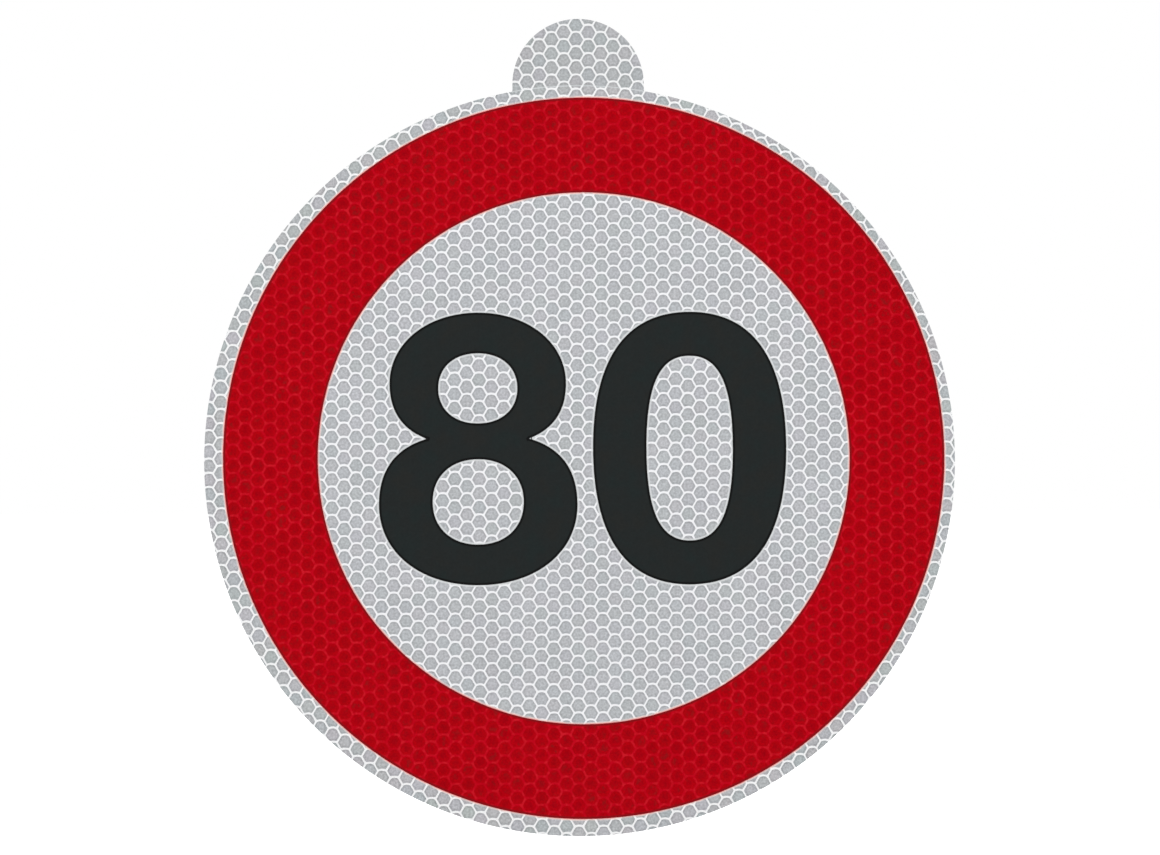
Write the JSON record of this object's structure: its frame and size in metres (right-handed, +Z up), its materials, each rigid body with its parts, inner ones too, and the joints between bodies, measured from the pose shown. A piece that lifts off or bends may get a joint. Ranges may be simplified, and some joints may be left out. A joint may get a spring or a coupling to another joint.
{
  "type": "speed limit sign",
  "caption": "Round speed limit sign with a half-round tab at the top: red border and black numerals on white honeycomb reflective sheeting, on a thin flat plate.",
  "frame": {"origin": "centre of the disc on the plate's back face", "axes": "+Z up through the tab, the face looks along -Y, +Y out of the back"},
  "size_m": [0.2, 0.002, 0.2177],
  "materials": {
    "plate_metal": "mill finish sheet",
    "white_sheeting": "encapsulated lens sheeting with white honeycomb walls and silvery grey cells",
    "red_film": "transparent red over the honeycomb",
    "black_film": "opaque black, satin"
  },
  "bodies": {
    "root": {"backing_plate": "plate_metal", "reflective_sheeting": "white_sheeting", "red_border": "red_film", "digit_eight": "black_film", "digit_zero": "black_film"}
  },
  "joints": []
}
